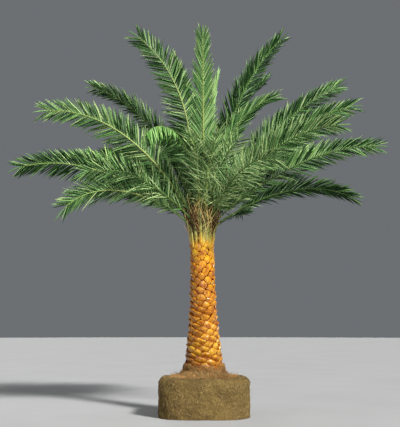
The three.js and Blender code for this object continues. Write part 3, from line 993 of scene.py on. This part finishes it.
def sheath_rings(number):
    """Rings of the clasping foot, from behind the topmost boots up to where the stem is free."""
    rib = midrib(number)
    _, spots, _, face, side = rib
    bearing = seat_bearing(number)
    out = SHEATH_OUT + SHEATH_STAGGER * (number * 5 % 3 - 1)
    slim = stem_slimness(number)
    foot = np.array((out * math.cos(bearing) - TRUNK_LEAN, out * math.sin(bearing), 0))
    foot[2] = TRUNK_TOP_Z - SHEATH_SINK
    rings = []
    for t in (0.0, 0.2, 0.4, 0.6, 0.8):
        width = slim * mix(SHEATH_WIDTH, STEM_WIDTH, t)
        outline = stem_section(0, width, mix(SHEATH_DEPTH, STEM_DEPTH, t))
        rings.append(mix(foot, spots[0], t) + outline[:, :1] * side[0] + outline[:, 1:] * face[0])
    rings += [rib_ring(rib, step, slim) for step in range(0, SHEATH_STEPS + 1, 2)]
    return np.array(rings)


def stem_rings(number):
    """Rings of the stem above its sheath to the rib's end, with the finish of each stretch."""
    rib = midrib(number)
    start = SHEATH_STEPS - 1 if clasps(number) else 0
    picks = np.concatenate((np.arange(start, 40, 4), np.arange(40, MIDRIB_STEPS + 1, 8)))
    slim = stem_slimness(number)
    rings = [rib_ring(rib, step, slim) for step in picks]
    pale_from = 0 if FRONDS[number].rise > LOWER_TIER else 0.42
    zones = []
    for s in picks / MIDRIB_STEPS:
        pale = len(STEM_TONES) if number in PALE_STEMS and s >= pale_from else 0
        zones.append(pale + stem_zone(s))
    return np.array(rings), zones


def stem_piece(name, bodies, finishes):
    """One piece from several tubes of rings, each ring with the finish of the stretch over it."""
    points, faces, kinds = [], [], []
    base = 0
    for rings, zones in bodies:
        sides = rings.shape[1]
        points.append(rings.reshape(-1, 3))
        for step in range(len(rings) - 1):
            low = base + step * sides
            faces += ring_faces(low, low + sides, sides)
            kinds += [zones[step]] * sides
        last = base + (len(rings) - 1) * sides
        faces.append(tuple(reversed(range(base, base + sides))))
        faces.append(tuple(range(last, last + sides)))
        kinds += [zones[0], zones[-1]]
        base += rings.shape[0] * sides
    stems = joined_mesh(name, np.concatenate(points), faces, finishes, kinds)
    stems.data.shade_smooth()
    return stems


def stem_sheaths(finish):
    """The clasping feet of all the lower stems, each with its own shade along the grain."""
    chance = np.random.default_rng(51)
    numbers = [number for number in FRONDS if clasps(number)]
    bodies = [(rings, np.zeros(len(rings))) for rings in map(sheath_rings, numbers)]
    sheaths = stem_piece("stem_sheaths", bodies, [finish])
    shades = []
    for number, (rings, _) in zip(numbers, bodies):
        shade = -0.4 if number in FRONT_STEMS else chance.uniform(-0.5, 0.5)
        shades.append(np.full(rings.shape[0] * rings.shape[1], shade))
    keep_values(sheaths, "sheath_shade", shades)
    seat_piece(sheaths, [f"frond_{number:02d}" for number in numbers])


def leaflet_aims(frond, axes, u, loose, shared, behind, chance):
    """Directions in which the leaflets on one side of a frond point, and their upper faces."""
    count = len(u)
    along, face, outward = axes
    calm = min(frond.openness, 1) ** 2 * (0.4 if frond.leaf_lift < 0 else 1)
    swing = frond.openness * leaf_angle(u) + SPRAY_SWING * shared
    swing = swing + (LEAF_SWING + LOOSE_SWING * loose) * chance.normal(0, 1, count)
    spread = LEAF_SPREAD * calm * (1 - 0.5 * u) + LOOSE_SPREAD * loose
    hang = mix(LEAF_LIFT, frond.leaf_lift, smoothstep(u, 0.15, 0.6))
    lift = np.radians(hang - BEHIND_DROP * behind + spread * chance.normal(0, 1, count))
    swing = np.radians(swing)
    aim = (np.cos(swing)[:, None] * along + (np.sin(swing) * np.cos(lift))[:, None] * outward
           + (np.sin(swing) * np.sin(lift))[:, None] * face)
    upper = np.cos(lift)[:, None] * face - np.sin(lift)[:, None] * outward
    upper = unit(upper - aim * np.sum(upper * aim, axis=1, keepdims=True))
    breadth = np.cross(aim, upper)
    tilt = np.radians(chance.normal(0, LEAF_TWIST * calm, count))[:, None]
    return aim, np.cos(tilt) * upper + np.sin(tilt) * breadth


def leaflet_sizes(frond, at, u, inner, regular, chance):
    """Lengths and widths of the leaflets on one side of a frond, with short spines at its foot."""
    count = len(at)
    grown = float(smoothstep(frond.rise, LOW_RISE, HIGH_RISE))
    ripe = mix(RIPE_LOW, RIPE_HIGH, grown)
    long = leaf_length(u, ripe) * chance.uniform(0.9, 1.08, count)
    spine = mix(0.05, 0.2, np.clip((at - SPINE_START) / (LEAF_START - SPINE_START), 0, 1))
    spine = spine * mix(0.6, 1.1, grown)
    long = np.maximum(long * (at > LEAF_START), spine * chance.uniform(0.6, 1.2, count))
    wide = LEAF_WIDE * (long / LEAF_LONG) ** 0.45 * chance.uniform(0.85, 1.1, count)
    wide = np.where(at < LEAF_START, SPINE_WIDE, wide)
    return long, np.where(regular, wide * (1 - INNER_SLIM * inner), INNER_WIDE)


def leaflet_rows(number, chance):
    """Roots, directions, faces, lengths, widths and tone steps of all the leaflets on one frond, with
    painted light on the front and inner ones and painted shade on those behind.
    """
    s, spots, along, face, side = midrib(number)
    frond = FRONDS[number]
    rib_long = frond.length - END_LEAF
    pitch, spray_size, wild_reach, far = LEAF_PITCH, LEAF_SPRAY, INNER_REACH, INNER_FAR
    if number in WILD_FRONDS:
        pitch, spray_size, wild_reach, far = WILD_PITCH, WILD_SPRAY, WILD_REACH, WILD_FAR
    full = round((1 - SPINE_START) * rib_long / pitch)
    count = full + INNER_LEAVES
    regular = np.arange(count) < full
    spray = np.arange(count) // spray_size
    behind = np.arange(count) % spray_size >= spray_size / 2
    gathered = np.minimum(spray_size * (spray[:full] + 0.4), full - 1) / (full - 1)
    gathered = mix(np.linspace(0, 1, full), gathered, SPRAY_GATHER * min(frond.openness, 1))
    places = np.concatenate((mix(SPINE_START, 0.995, gathered), np.linspace(0.09, far, INNER_LEAVES)))
    groups = []
    for hand in (-1, 1):
        at = np.clip(places + chance.uniform(-0.3, 0.3, count) / count, 0, 1)
        shared = chance.normal(0, 1, count)[spray]
        step = np.round(at * MIDRIB_STEPS).astype(int)
        u = np.clip((at - LEAF_START) / (1 - LEAF_START), 0, 1)
        inner = 1 - smoothstep(at * rib_long, 0.1, wild_reach)
        loose = inner * np.where(regular, 1, 1.7)
        axes = along[step], face[step], hand * side[step]
        aim, upper = leaflet_aims(frond, axes, u, loose, shared, behind, chance)
        long, wide = leaflet_sizes(frond, at, u, inner, regular, chance)
        out = 0.38 * rib_width(s[step])
        above = 0.25 * rib_depth(s[step])
        root = spots[step] + axes[2] * out[:, None] + axes[1] * above[:, None]
        # Tone steps: painted light on the loose inner leaflets and on the front of each spray, painted
        # shade behind, and a random stray
        light = INNER_PAINTED_LIGHT * inner * np.where(regular, 0, 1)
        light = light + (TONE_STRAY + INNER_STRAY * inner) * chance.normal(0, 1, count)[spray]
        light = light + np.where(behind, -BEHIND_PAINTED_SHADE, FRONT_PAINTED_LIGHT)
        kept = root[:, 2] > LEAF_FLOOR_Z
        groups.append([column[kept] for column in (root, aim, upper, long, wide, light)])
    end = MIDRIB_STEPS
    tip_size = np.array([END_LEAF]), np.array([END_LEAF_WIDE])
    groups.append((spots[end:], along[end:], face[end:], *tip_size, np.zeros(1)))
    return [np.concatenate(column) for column in zip(*groups)]


def leaflet_bodies(root, aim, upper, long, wide, chance):
    """Closed folded blades: stations of two edges, a crease and a keel, and a sharp tip."""
    count = len(long)
    breadth = np.cross(aim, upper)
    fold = np.radians(chance.uniform(*LEAF_FOLD, count))[:, None]
    sag = chance.uniform(*LEAF_SAG, count)[:, None] * long[:, None]
    curl = chance.normal(0, LEAF_CURL, count)[:, None] * long[:, None]
    down = np.array((0, 0, -1.0))
    rows = []
    for t, w in zip(LEAF_STATIONS, LEAF_OUTLINE):
        spine = root + aim * (long * t)[:, None] + down * sag * t ** 2 + breadth * curl * t ** 2
        half = (wide * w / 2)[:, None]
        thick = LEAF_THIN + KEEL_DEPTH * (1 - t)
        rise = upper * half * np.sin(fold)
        reach = breadth * half * np.cos(fold)
        rows += [spine - reach + rise, spine, spine + reach + rise, spine - upper * thick]
    rows.append(root + aim * long[:, None] + down * sag + breadth * curl)
    return np.stack(rows, axis=1)


def leaflet_faces():
    """Faces of one leaflet's body, and which of them lie on its upper side."""
    faces, upper_side = [], []
    last = len(LEAF_STATIONS) - 1
    tip = 4 * len(LEAF_STATIONS)
    for station in range(last):
        faces += ring_faces(4 * station, 4 * station + 4, 4)
        upper_side += [True, True, False, False]
    for k in range(4):
        faces.append((4 * last + k, 4 * last + (k + 1) % 4, tip))
        upper_side.append(k < 2)
    faces.append((3, 2, 1, 0))
    upper_side.append(False)
    return faces, np.array(upper_side)


def leaflet_piece(name, numbers, finishes):
    pattern, upper_side = leaflet_faces()
    each = 4 * len(LEAF_STATIONS) + 1
    points, kinds = [], []
    for number in numbers:
        chance = np.random.default_rng(500 + number)
        *rows, lighter = leaflet_rows(number, chance)
        points.append(leaflet_bodies(*rows, chance))
        # Leaflet tone: the frond's own tone, with its share of painted light and shade, and a random
        # stray; the fronds of the front stems take less of the painted light and shade
        even = FRONT_EVEN if number in FRONT_STEMS else 1
        stray = TONE_STRAY * chance.normal(0, 1, len(lighter))
        tone = np.round(FRONDS[number].tone + even * lighter + stray)
        tone = np.clip(tone, 0, len(LEAF_TONES) - 1).astype(int)
        kinds.append(2 * tone[:, None] + np.where(upper_side, 0, 1))
    points = np.concatenate(points)
    faces = [tuple(i + each * leaf for i in face) for leaf in range(len(points)) for face in pattern]
    return joined_mesh(name, points.reshape(-1, 3), faces, finishes, np.concatenate(kinds).reshape(-1))


def dress_fronds():
    leaf_finishes = []
    for name, upper, under in LEAF_TONES:
        leaf_finishes.append(plain_finish(name + "_upper", upper, 0.38, 0.28))
        leaf_finishes.append(plain_finish(name + "_under", under, 0.55, 0.1))
    stem_tones = STEM_TONES + PALE_STEM_TONES
    stem_finishes = [plain_finish(name, colour, 0.45) for name, colour in stem_tones]
    stem_sheaths(sheath_finish())
    tiers = {"lower": [], "middle": [], "upper": [], "young": []}
    for number, frond in FRONDS.items():
        if number in YOUNG_FRONDS:
            tiers["young"].append(number)
        elif frond.rise < LOWER_TIER:
            tiers["lower"].append(number)
        elif frond.rise < MIDDLE_TIER:
            tiers["middle"].append(number)
        else:
            tiers["upper"].append(number)
    for tier, numbers in tiers.items():
        nodes = [f"frond_{number:02d}" for number in numbers]
        bodies = [stem_rings(number) for number in numbers]
        seat_piece(stem_piece(f"frond_stems_{tier}", bodies, stem_finishes), nodes)
        seat_piece(leaflet_piece(f"leaflets_{tier}", numbers, leaf_finishes), nodes)


# Studio
def lay_floor():
    bpy.ops.object.select_all(action="DESELECT")
    bpy.ops.mesh.primitive_circle_add(
        vertices=96, radius=FLOOR_RADIUS, fill_type="NGON", location=(0, 0, -0.001))
    floor = start_piece("studio_floor")
    bpy.ops.object.transform_apply(location=True)
    floor.data.materials.append(floor_finish())


def hang_light(name, spot, aim, power, size):
    lamp = bpy.data.lights.new(name, "AREA")
    lamp.energy = power
    lamp.size = size
    place_light(name, lamp, spot, aim)


def far_light(name, spot, aim, strength, softness):
    lamp = bpy.data.lights.new(name, "SUN")
    lamp.energy = strength
    lamp.angle = math.radians(softness)
    return place_light(name, lamp, spot, aim)


def place_light(name, lamp, spot, aim):
    holder = bpy.data.objects.new(name, lamp)
    holder.location = spot
    holder.rotation_euler = (Vector(aim) - Vector(spot)).to_track_quat("-Z", "Y").to_euler()
    bpy.context.collection.objects.link(holder)
    return holder


def light_studio():
    far_light("key_light", (5.5, -7.0, 8.5), TRUNK_AIM, 7.3, 9)
    far_light("front_light", (-1.0, -9.5, 3.2), HEAD_AIM, 0.85, 30)
    back = far_light("back_light", (-4.0, 8.0, 5.0), HEAD_AIM, 1.2, 40)
    back.visible_glossy = False
    hang_light("fill_light", (-8.0, -6.0, 5.0), HEAD_AIM, 180, 5.0)
    world = bpy.data.worlds.new("studio_air")
    world.use_nodes = True
    air = world.node_tree.nodes["Background"]
    air.inputs["Color"].default_value = AIR_COLOUR
    air.inputs["Strength"].default_value = AIR_STRENGTH
    bpy.context.scene.world = world


def set_camera():
    lens = bpy.data.cameras.new("photo_view")
    lens.sensor_fit = "HORIZONTAL"
    lens.sensor_width = FILM_WIDTH
    lens.lens = LENS
    camera = bpy.data.objects.new("photo_view", lens)
    camera.location = CAMERA_SPOT
    camera.rotation_euler = (math.radians(90 + CAMERA_PITCH), 0, 0)
    bpy.context.collection.objects.link(camera)
    bpy.context.scene.camera = camera


def dress_palm():
    soil = model_soil(soil_finish())
    tan = plain_finish("root_tan", (150, 128, 86), 0.85)
    straw = plain_finish("root_straw", (134, 114, 72), 0.85)
    umber = plain_finish("root_umber", (84, 66, 40), 0.85)
    rust = plain_finish("root_rust", (158, 114, 64), 0.8)
    russet = plain_finish("root_russet", (128, 88, 48), 0.8)
    root_hairs(soil, [tan, straw, umber])
    root_skirt(soil, [rust, russet, straw])
    model_core(fibre_finish("trunk_fibre", (92, 48, 18), (150, 86, 34), (1, 1, 0.3)))
    trunk_boots(boot_finish())
    model_heart(fibre_finish("heart_fibre", (42, 27, 13), (112, 80, 44), (1, 1, 0.25)))
    dark = plain_finish("fibre_dark", (62, 43, 22), 0.8)
    brown = plain_finish("fibre_brown", (110, 80, 44), 0.8)
    dry = plain_finish("stalk_dry", (196, 170, 104), 0.7)
    heart_strands([dark, brown, dry])
    dress_fronds()


dress_palm()
lay_floor()
light_studio()
set_camera()
bpy.context.scene.view_settings.view_transform = "Standard"
